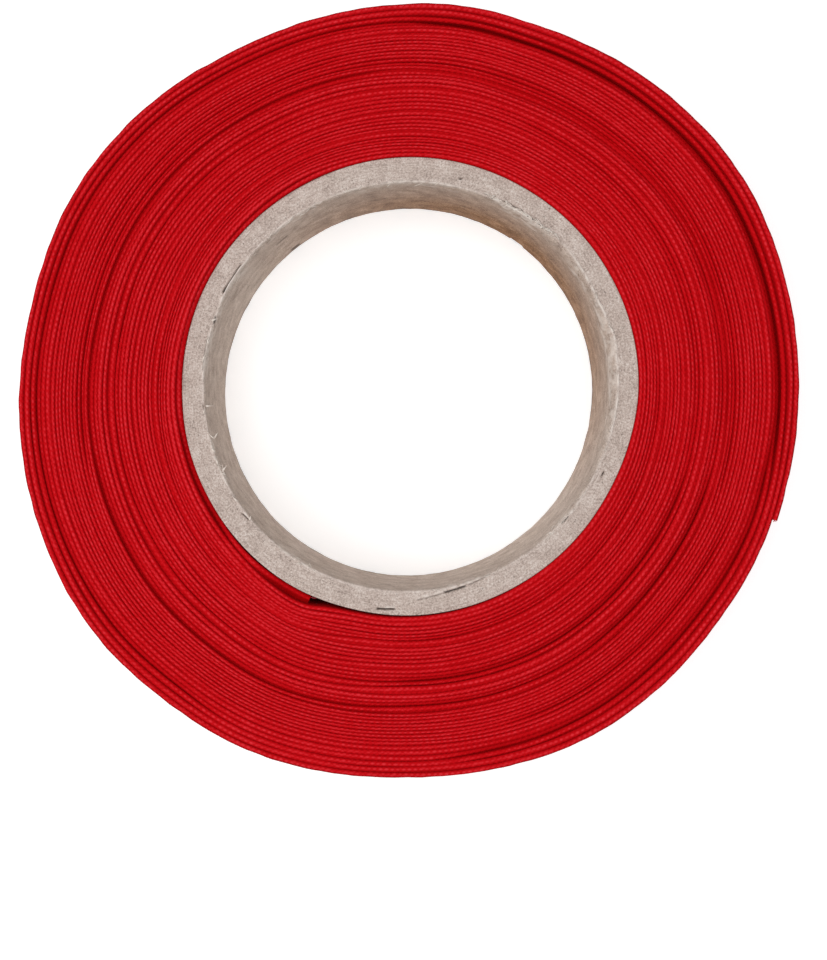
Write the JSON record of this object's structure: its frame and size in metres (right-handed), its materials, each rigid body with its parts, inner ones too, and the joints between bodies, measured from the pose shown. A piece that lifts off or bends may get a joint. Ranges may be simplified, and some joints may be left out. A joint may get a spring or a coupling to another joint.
{
  "type": "roll of bias binding",
  "caption": "Roll of folded red cotton bias binding, wound flat on a plain cardboard core and lying on its side.",
  "frame": {"origin": "on the core's axis, on the surface that the roll lies on", "axes": "+Z along the roll's axis, up; seen from above with +Y up the view, the outer cut end is 20 degrees clockwise of +X"},
  "size_m": [0.0974, 0.0967, 0.0183],
  "materials": {
    "cardboard": "matt grey-beige paperboard, cut edge",
    "red_cotton": "matt plain-weave cotton, cut on the bias"
  },
  "bodies": {
    "root": {"cardboard_core": "cardboard", "wound_binding": "red_cotton"}
  },
  "joints": []
}
